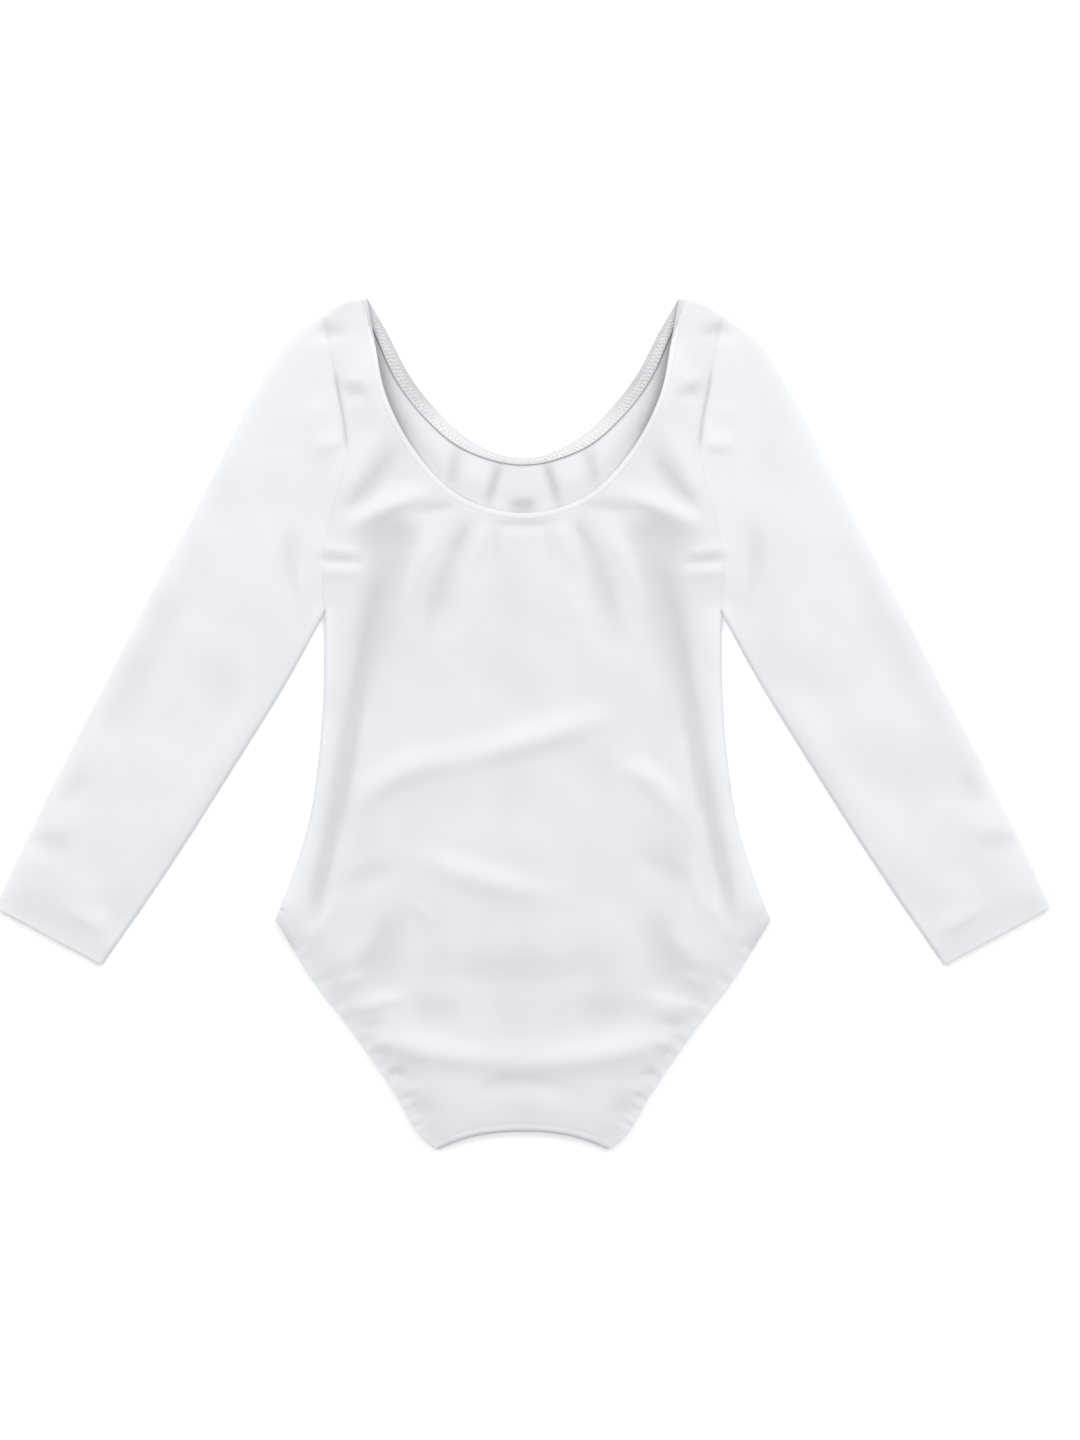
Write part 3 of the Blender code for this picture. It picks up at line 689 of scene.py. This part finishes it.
def makeLegBand(name, side):
    lines = (legLine, legHemLine)
    count = round(runOf(legLine)[-1] / hemForm["step"])
    steps = [(runOf(line)[-1] - 2 * lie["bend"]) / count for line in lines]
    rows = [along(line, hemStations(runOf(line)[-1], step)) for line, step in zip(lines, steps)]
    plan = hemPlan(*rows)
    run = hemStations(runOf(legLine)[-1], steps[0])
    if side < 0:
        plan = mirrored(plan)
    upper = raised(plan, upperHeight)
    lower = raised(plan[::-1], lowerHeight)[1:-1]
    points = np.concatenate((upper, lower, upper[:1]))
    total = np.concatenate((run, run[-1] + run[1:-1], [2 * run[-1]]))
    across = np.linspace(0, legHemWidth, hemForm["across"])
    uv = np.dstack(np.meshgrid(across, total))
    if side < 0:
        points, uv = points[:, ::-1], uv[:, ::-1]
    return sewTogether(name, [clothGrid(name, points, uv)], hemForm["legWall"])


# painted shade and painted highlight: how much each point's colour is darkened in creases, crevices and
# along hem lines, or lightened on ridges and edges, kept on the mesh for its material
paintedShadingLook = {
    # painted shade in troughs and painted highlight on ridges follow the crease's depth, scaled by this
    # many millimetres
    "full": 3.0,
    "steep": 1.3,
    "ridge": 0.28,          # painted highlight on ridges and along the side and outer edges, as a share of a full crease
    "edge": 0.42,
    "edgeReach": 7.0,
    # painted shade in the hip corner where the side meets the leg opening
    "hip": 0.9,
    "hipReach": 4.0,
    "hipShare": 0.08,
    "hipSoft": 0.06,
    # painted shadow in the crevice beside the front's neck
    "creviceReach": 8.0,
    "creviceLow": 176.0,
    "creviceHigh": 236.0,
    "creviceSoft": 34.0,
    # painted shade on the back of the neck's hem around its stitches
    "sewnPaintedShade": 0.62,
    "sewnHeights": (200.0, 236.0, 22.0),
    "hemLine": 1.5,         # thin lines of painted shade along the back's hem and the armhole's pleat
    "hemLineReach": 0.8,
    "pleat": 1.1,
    "pleatReach": 1.3,
    "pleatSoft": 8.0,
    # painted shade in the back's pleats
    "backPleats": slice(2, 5),      # rows of backCreases
    "backFull": 1.6,
    "backShare": 0.85,
    # painted highlight on the front of the neck's hem
    "frontHem": -0.2,
}


# painted shade in the upper layer's troughs, along the armhole's pleat and in the hip corner by the leg;
# painted highlight on ridges and along the side and outer edges
def upperPaintedShading(points):
    near = oneSide(points)
    depth = np.tanh(-upperRelief(points) / paintedShadingLook["full"] * paintedShadingLook["steep"])
    depth = np.where(depth < 0, paintedShadingLook["ridge"] * depth, depth)
    edge = np.minimum(nearestOn(sideLine, near)[0], nearestOn(outerLine, near)[0])
    depth -= paintedShadingLook["edge"] * np.exp(-(edge / paintedShadingLook["edgeReach"]) ** 2)
    pleat = between(near[:, 1], seams["pleatLow"], seams["pleatHigh"], paintedShadingLook["pleatSoft"])
    gap = nearestOn(armholeLine, near)[0]
    depth += paintedShadingLook["pleat"] * pleat * np.exp(-(gap / paintedShadingLook["pleatReach"]) ** 2)
    gap, share, side = nearestOn(legLine, near)
    corner = between(share, 0.0, paintedShadingLook["hipShare"], paintedShadingLook["hipSoft"])
    return depth + paintedShadingLook["hip"] * np.exp(-(gap / paintedShadingLook["hipReach"]) ** 2) * corner


def lowerPaintedShading(points):
    # painted shade in the pleats of the back below its neckline, painted shadow in the crevice beside the
    # front's neck, and a painted shade line along the back's hem
    near = oneSide(points)
    pleats = relief(near, backCreases[paintedShadingLook["backPleats"]])
    pleats = paintedShadingLook["backShare"] * np.clip(-pleats / paintedShadingLook["backFull"], 0, 1)
    gap = nearestOn(neckFrontLine[:, :2], near)[0]
    crevice = between(near[:, 1], paintedShadingLook["creviceLow"], paintedShadingLook["creviceHigh"],
                      paintedShadingLook["creviceSoft"])
    crevice *= np.exp(-(gap / paintedShadingLook["creviceReach"]) ** 2)
    gap = nearestOn(backHem[:, 4:], points)[0]
    line = paintedShadingLook["hemLine"] * np.exp(-(gap / paintedShadingLook["hemLineReach"]) ** 2)
    return np.maximum(pleats, crevice) + line


def hemPaintedShading(points):
    # painted highlight on the front of the neck's hem, to read as light as the panel; painted shade on
    # the back's sewn sides
    near = oneSide(points)
    sewnPaintedShade = paintedShadingLook["sewnPaintedShade"] * between(near[:, 1], *paintedShadingLook["sewnHeights"])
    onBack = nearestOn(backHem[:, 2:4], points)[0] < nearestOn(frontHem[:, 2:4], points)[0]
    return np.where(onBack, sewnPaintedShade, paintedShadingLook["frontHem"])


def keepPaintedShading(piece, paintedShadingOf):
    mesh = piece.data
    places = np.empty(3 * len(mesh.vertices))
    mesh.vertices.foreach_get("co", places)
    values = paintedShadingOf(places.reshape(-1, 3)[:, :2] / mm)
    # the painted shade and highlight are stored as a point attribute that the cloth materials read
    mesh.attributes.new("paintedCreaseShading", "FLOAT", "POINT").data.foreach_set("value", values)


neckBand = makeNeckBand()
legBandLeft = makeLegBand("legBandLeft", 1)
legBandRight = makeLegBand("legBandRight", -1)
# each cloth piece gets its own painted shade and highlight
for piece, paintedShadingOf in (
    (frontPanel, upperPaintedShading), (backPanel, lowerPaintedShading), (sleeveLeft, upperPaintedShading),
    (sleeveRight, upperPaintedShading), (neckBand, hemPaintedShading), (legBandLeft, upperPaintedShading),
    (legBandRight, upperPaintedShading),
):
    keepPaintedShading(piece, paintedShadingOf)
print("hems", len(neckBand.data.polygons), len(legBandLeft.data.polygons))


# threads: one stitch is modelled and copied along each sewn line
threads = {"radius": 0.30, "zigPitch": 2.35, "zigNear": 0.34, "zigFar": 0.95, "hemPitch": 2.6,
           "hemStitch": 1.9, "lift": 0.05, "shoulderRun": 9.0, "coverPitch": 1.6,
           "coverFrom": 0.86, "coverTo": 1.03, "coverDrop": 0.35, "coverLean": 0.014,
           "coverRadius": 0.2, "rowRadius": 0.10, "cuffRadius": 0.11}


def stitchShape():
    bpy.ops.object.select_all(action="DESELECT")
    bpy.ops.mesh.primitive_uv_sphere_add(segments=6, ring_count=5, radius=1)
    ball = bpy.context.object
    bpy.ops.object.mode_set(mode="EDIT")
    bpy.ops.mesh.select_all(action="SELECT")
    bpy.ops.transform.rotate(value=np.pi / 2, orient_axis="Y", center_override=(0, 0, 0))
    bpy.ops.object.mode_set(mode="OBJECT")
    corners = np.array([vertex.co for vertex in ball.data.vertices])
    faces = [tuple(face.vertices) for face in ball.data.polygons]
    bpy.data.objects.remove(ball)
    return corners, faces


stitchCorners, stitchFaces = stitchShape()


def sewStitches(name, starts, ends, radius):
    # starts and ends are in millimetres; each stitch bulges up out of the cloth between them
    span = ends - starts
    length = np.linalg.norm(span, axis=1)[:, None]
    forward = span / length
    across = np.cross(forward, (0.0, 0.0, 1.0))
    across /= np.linalg.norm(across, axis=1)[:, None]
    up = np.cross(across, forward)
    middle = 0.5 * (starts + ends)
    shape = stitchCorners[None]
    points = (middle[:, None]
              + shape[..., :1] * (0.5 * length + 0.5 * radius)[:, None] * forward[:, None]
              + shape[..., 1:2] * radius * across[:, None]
              + shape[..., 2:] * radius * up[:, None])
    count = len(stitchCorners)
    faces = [tuple(i * count + corner for corner in face)
             for i in range(len(starts)) for face in stitchFaces]
    mesh = bpy.data.meshes.new(name)
    mesh.from_pydata(points.reshape(-1, 3) * mm, [], faces)
    mesh.shade_smooth()
    piece = bpy.data.objects.new(name, mesh)
    bpy.context.scene.collection.objects.link(piece)
    return piece


def insideBack(plan):
    # places on the inner face of the neck's hem
    return np.column_stack((plan, lowerHeight(plan) + hemForm["neckWall"] + threads["lift"]))


def onFront(plan):
    return np.column_stack((plan, upperHeight(plan) + threads["lift"]))


def sewNeckZigzag():
    run = runOf(backHem)[-1]
    end = threads["shoulderRun"]
    stations = np.arange(end, run - end, threads["zigPitch"] / 2)
    rows = along(backHem, stations)
    share = np.where(np.arange(len(stations)) % 2, threads["zigNear"], threads["zigFar"])[:, None]
    plan = rows[:, :2] * (1 - share) + rows[:, 2:4] * share
    places = insideBack(plan)
    return sewStitches("neckZigzag", places[:-1], places[1:], threads["radius"])


def sewNeckCover():
    # the row of loops over the raw edge of the turned hem
    run = runOf(backHem)[-1]
    end = threads["shoulderRun"]
    stations = np.arange(end, run - end, threads["coverPitch"])
    rows = along(backHem, stations)
    ends = []
    for share in (threads["coverFrom"], threads["coverTo"]):
        plan = rows[:, :2] * (1 - share) + rows[:, 2:4] * share
        ends.append(insideBack(plan))
    ends[1][:, 2] -= threads["coverDrop"]
    lean = threads["coverLean"] * (rows[:, 2:4] - rows[:, :2])[:, ::-1]
    ends[1][:, :2] += lean * (1.0, -1.0)
    return sewStitches("neckCover", *ends, threads["coverRadius"])


def sewRow(name, line, start, end, radius=threads["rowRadius"]):
    # straight stitches along a line on the front, from one share of its run to another
    run = runOf(line)[-1]
    starts = np.arange(start * run, end * run - threads["hemStitch"], threads["hemPitch"])
    places = [onFront(along(line, starts + step)) for step in (0.0, threads["hemStitch"])]
    return sewStitches(name, *places, radius)


def cuffStitchLine():
    way = cuffLine[1] - cuffLine[0]
    way /= np.linalg.norm(way)
    up = np.array((-way[1], way[0]))
    start, end = cuffLine + up * cuffHem["deep"]
    return np.array((start - 1.5 * way, end - 5.0 * way))


cuffStitches = cuffStitchLine()
crotchStitches = crotchLine + np.array((0.0, seams["crotchSeam"]))
stitches = [
    sewNeckZigzag(),
    sewNeckCover(),
    sewRow("legStitchesLeft", legHemLine, 0.05, 0.97),
    sewRow("legStitchesRight", mirrored(legHemLine), 0.05, 0.97),
    sewRow("cuffStitchesLeft", cuffStitches, 0.04, 0.97, threads["cuffRadius"]),
    sewRow("cuffStitchesRight", mirrored(cuffStitches), 0.04, 0.97, threads["cuffRadius"]),
    sewRow("crotchStitches", crotchStitches, 0.06, 0.95),
]
print("stitches", sum(len(piece.data.polygons) for piece in stitches))


# materials
def addSocket(group, name, kind, way, value=None):
    socket = group.interface.new_socket(name=name, in_out=way, socket_type=kind)
    if value is not None:
        socket.default_value = value
    return socket


def math(nodes, links, operation, first, second=None):
    node = nodes.new("ShaderNodeMath")
    node.operation = operation
    for slot, value in enumerate((first, second)):
        if value is None:
            continue
        if isinstance(value, (int, float)):
            node.inputs[slot].default_value = value
        else:
            links.new(value, node.inputs[slot])
    return node.outputs[0]


def knitGroup():
    # fine jersey: upright wales crossed by rows of small loops, with a soft uneven tone
    group = bpy.data.node_groups.new("fineJersey", "ShaderNodeTree")
    addSocket(group, "Vector", "NodeSocketVector", "INPUT")
    addSocket(group, "Wales", "NodeSocketFloat", "INPUT", 1500.0)
    addSocket(group, "Courses", "NodeSocketFloat", "INPUT", 1900.0)
    addSocket(group, "Cloud", "NodeSocketFloat", "INPUT", 0.02)
    addSocket(group, "Tint", "NodeSocketColor", "INPUT", (0.8, 0.81, 0.83, 1))
    addSocket(group, "Height", "NodeSocketFloat", "OUTPUT")
    addSocket(group, "Color", "NodeSocketColor", "OUTPUT")
    addSocket(group, "Roughness", "NodeSocketFloat", "OUTPUT")
    nodes, links = group.nodes, group.links
    source = nodes.new("NodeGroupInput")
    result = nodes.new("NodeGroupOutput")
    split = nodes.new("ShaderNodeSeparateXYZ")
    links.new(source.outputs["Vector"], split.inputs[0])
    u = math(nodes, links, "MULTIPLY", split.outputs[0], source.outputs["Wales"])
    v = math(nodes, links, "MULTIPLY", split.outputs[1], source.outputs["Courses"])
    wale = math(nodes, links, "PINGPONG", u, 0.5)
    lean = math(nodes, links, "MULTIPLY_ADD", wale, 1.1)
    links.new(v, lean.node.inputs[2])
    turn = math(nodes, links, "MULTIPLY", lean, 6.2832)
    loop = math(nodes, links, "SINE", turn)
    loopLow = math(nodes, links, "MULTIPLY", loop, 0.25)
    rib = math(nodes, links, "MULTIPLY", wale, 1.5)
    height = math(nodes, links, "ADD", rib, loopLow)
    links.new(height, result.inputs["Height"])
    cloud = nodes.new("ShaderNodeTexNoise")
    cloud.inputs["Scale"].default_value = 28.0
    cloud.inputs["Detail"].default_value = 3.0
    links.new(source.outputs["Vector"], cloud.inputs["Vector"])
    lift = math(nodes, links, "SUBTRACT", cloud.outputs["Fac"], 0.5)
    tone = math(nodes, links, "MULTIPLY", lift, source.outputs["Cloud"])
    shade = math(nodes, links, "MULTIPLY_ADD", height, 0.02)
    links.new(tone, shade.node.inputs[2])
    value = math(nodes, links, "ADD", shade, 0.985)
    mix = nodes.new("ShaderNodeVectorMath")
    mix.operation = "SCALE"
    links.new(source.outputs["Tint"], mix.inputs[0])
    links.new(value, mix.inputs["Scale"])
    links.new(mix.outputs[0], result.inputs["Color"])
    rough = math(nodes, links, "MULTIPLY_ADD", cloud.outputs["Fac"], 0.12)
    rough.node.inputs[2].default_value = 0.70
    links.new(rough, result.inputs["Roughness"])
    return group


def paintedShadeGroup():
    # painted shade: the cloth's base colour is darkened where it lies down in a crease, and lightened as
    # a painted highlight where the value is below zero
    group = bpy.data.node_groups.new("paintedShadeNodes", "ShaderNodeTree")
    addSocket(group, "Color", "NodeSocketColor", "INPUT", (0.8, 0.8, 0.8, 1))
    addSocket(group, "Depth", "NodeSocketFloat", "INPUT", 0.0)
    addSocket(group, "Strength", "NodeSocketFloat", "INPUT", 0.15)
    addSocket(group, "Color", "NodeSocketColor", "OUTPUT")
    nodes, links = group.nodes, group.links
    source = nodes.new("NodeGroupInput")
    result = nodes.new("NodeGroupOutput")
    share = math(nodes, links, "MULTIPLY", source.outputs["Depth"], source.outputs["Strength"])
    keep = math(nodes, links, "SUBTRACT", 1.0, share)
    scale = nodes.new("ShaderNodeVectorMath")
    scale.operation = "SCALE"
    links.new(source.outputs["Color"], scale.inputs[0])
    links.new(keep, scale.inputs["Scale"])
    links.new(scale.outputs[0], result.inputs["Color"])
    return group


fineJersey = knitGroup()
paintedShadeNodes = paintedShadeGroup()
# each material's shade is the strength of the painted shade and painted highlight it reads from the mesh
knitLook = {
    "panelKnit": {"tint": (0.785, 0.80, 0.832, 1), "wales": 1500.0, "courses": 1900.0,
                  "depth": 0.00006, "shade": 0.19},
    "insideKnit": {"tint": (0.795, 0.803, 0.834, 1), "wales": 1500.0, "courses": 1900.0,
                   "depth": 0.00006, "shade": 0.32},
    # the sleeves' tint is painted lighter than the panel's, standing in for the extra light they catch;
    # the cloth is the same
    "sleeveKnitPaintedLighter": {"tint": (0.815, 0.827, 0.858, 1), "wales": 1500.0, "courses": 1900.0,
                   "depth": 0.00006, "shade": 0.15},
    "hemKnit": {"tint": (0.80, 0.81, 0.84, 1), "wales": 1300.0, "courses": 1500.0,
                "depth": 0.00008, "shade": 0.34},
}


def clothMaterial(name):
    look = knitLook[name]
    material = bpy.data.materials.new(name)
    material.use_nodes = True
    nodes, links = material.node_tree.nodes, material.node_tree.links
    shader = nodes["Principled BSDF"]
    shader.inputs["Specular IOR Level"].default_value = 0.25
    shader.inputs["Sheen Weight"].default_value = 0.12
    shader.inputs["Sheen Roughness"].default_value = 0.45
    place = nodes.new("ShaderNodeUVMap")
    place.uv_map = "UVMap"
    knit = nodes.new("ShaderNodeGroup")
    knit.node_tree = fineJersey
    knit.inputs["Wales"].default_value = look["wales"]
    knit.inputs["Courses"].default_value = look["courses"]
    knit.inputs["Tint"].default_value = look["tint"]
    links.new(place.outputs[0], knit.inputs["Vector"])
    # the painted shade and highlight stored on the mesh darken or lighten the base colour
    depth = nodes.new("ShaderNodeAttribute")
    depth.attribute_name = "paintedCreaseShading"
    crease = nodes.new("ShaderNodeGroup")
    crease.node_tree = paintedShadeNodes
    crease.inputs["Strength"].default_value = look["shade"]
    links.new(knit.outputs["Color"], crease.inputs["Color"])
    links.new(depth.outputs["Fac"], crease.inputs["Depth"])
    links.new(crease.outputs["Color"], shader.inputs["Base Color"])
    links.new(knit.outputs["Roughness"], shader.inputs["Roughness"])
    bump = nodes.new("ShaderNodeBump")
    bump.inputs["Strength"].default_value = 0.5
    bump.inputs["Distance"].default_value = look["depth"]
    links.new(knit.outputs["Height"], bump.inputs["Height"])
    links.new(bump.outputs[0], shader.inputs["Normal"])
    return material


panelKnit = clothMaterial("panelKnit")
sleeveKnitPaintedLighter = clothMaterial("sleeveKnitPaintedLighter")
hemKnit = clothMaterial("hemKnit")
insideKnit = clothMaterial("insideKnit")


def threadMaterial():
    # twisted polyester: fine slanting plies along each stitch
    material = bpy.data.materials.new("whiteThread")
    material.use_nodes = True
    nodes, links = material.node_tree.nodes, material.node_tree.links
    shader = nodes["Principled BSDF"]
    shader.inputs["Specular IOR Level"].default_value = 0.4
    place = nodes.new("ShaderNodeTexCoord")
    plies = nodes.new("ShaderNodeTexWave")
    plies.bands_direction = "DIAGONAL"
    plies.inputs["Scale"].default_value = 1800.0
    plies.inputs["Distortion"].default_value = 1.0
    links.new(place.outputs["Object"], plies.inputs["Vector"])
    tone = nodes.new("ShaderNodeMapRange")
    tone.inputs["To Min"].default_value = 0.84
    tone.inputs["To Max"].default_value = 0.95
    links.new(plies.outputs["Fac"], tone.inputs["Value"])
    colour = nodes.new("ShaderNodeCombineColor")
    for channel in ("Red", "Green", "Blue"):
        links.new(tone.outputs["Result"], colour.inputs[channel])
    links.new(colour.outputs[0], shader.inputs["Base Color"])
    shader.inputs["Roughness"].default_value = 0.5
    bump = nodes.new("ShaderNodeBump")
    bump.inputs["Distance"].default_value = 0.00003
    links.new(plies.outputs["Fac"], bump.inputs["Height"])
    links.new(bump.outputs[0], shader.inputs["Normal"])
    return material


whiteThread = threadMaterial()
for piece in stitches:
    piece.data.materials.append(whiteThread)
    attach(piece, "root")


def dress(piece, material, node):
    piece.data.materials.clear()
    piece.data.materials.append(material)
    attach(piece, "root")
    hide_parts(node)


for piece, material, slot, node in (
    (frontPanel, panelKnit, "knit", "front_panel"),
    (backPanel, insideKnit, "knit", "back_panel"),
    (sleeveLeft, sleeveKnitPaintedLighter, "knit", "sleeve_left"),
    (sleeveRight, sleeveKnitPaintedLighter, "knit", "sleeve_right"),
    (neckBand, hemKnit, "elastic_hem", "neck_band"),
    (legBandLeft, panelKnit, "elastic_hem", "leg_band_left"),
    (legBandRight, panelKnit, "elastic_hem", "leg_band_right"),
):
    dress(piece, material, node)

print("sheets")

# the studio
studio = {
    "floorSize": 12.0,
    "floorLevel": -0.0002,
    "floorColour": (1.0, 1.0, 1.0, 1),
    "ambient": 0.24,
    "floorGlow": 0.14,
    "keyPlace": (2.3, 2.9, 2.75),       # and its twin on the other side
    "keySize": 2.0,
    "keyPower": 76.0,
    "topPlace": (0.1, 0.2, 3.0),
    "topSize": 3.0,
    "topPower": 47.0,
}


def addSoftbox(name, place, size, power):
    bpy.ops.object.light_add(type="AREA", location=place)
    lamp = bpy.context.object
    lamp.name = name
    lamp.data.shape = "SQUARE"
    lamp.data.size = size
    lamp.data.energy = power
    lamp.rotation_euler = (Vector((0, 0, 0)) - Vector(place)).to_track_quat("-Z", "Y").to_euler()


def makeStudio():
    bpy.ops.object.select_all(action="DESELECT")
    bpy.ops.mesh.primitive_plane_add(size=studio["floorSize"], location=(0, 0, studio["floorLevel"]))
    floor = bpy.context.object
    floor.name = "studioFloor"
    material = bpy.data.materials.new("palePaper")
    material.use_nodes = True
    shader = material.node_tree.nodes["Principled BSDF"]
    shader.inputs["Base Color"].default_value = studio["floorColour"]
    shader.inputs["Roughness"].default_value = 0.95
    shader.inputs["Specular IOR Level"].default_value = 0.0
    shader.inputs["Emission Color"].default_value = (1, 1, 1, 1)
    shader.inputs["Emission Strength"].default_value = studio["floorGlow"]
    floor.data.materials.append(material)
    world = bpy.data.worlds.new("softRoom")
    world.use_nodes = True
    world.node_tree.nodes["Background"].inputs["Color"].default_value = (1, 1, 1, 1)
    world.node_tree.nodes["Background"].inputs["Strength"].default_value = studio["ambient"]
    bpy.context.scene.world = world
    x, y, z = studio["keyPlace"]
    addSoftbox("keySoftboxLeft", (-x, y, z), studio["keySize"], studio["keyPower"])
    addSoftbox("keySoftboxRight", (x, y, z), studio["keySize"], studio["keyPower"])
    addSoftbox("topSoftbox", studio["topPlace"], studio["topSize"], studio["topPower"])
    bpy.context.scene.view_settings.view_transform = "Standard"
    bpy.context.scene.view_settings.look = "None"


makeStudio()
print("studio")
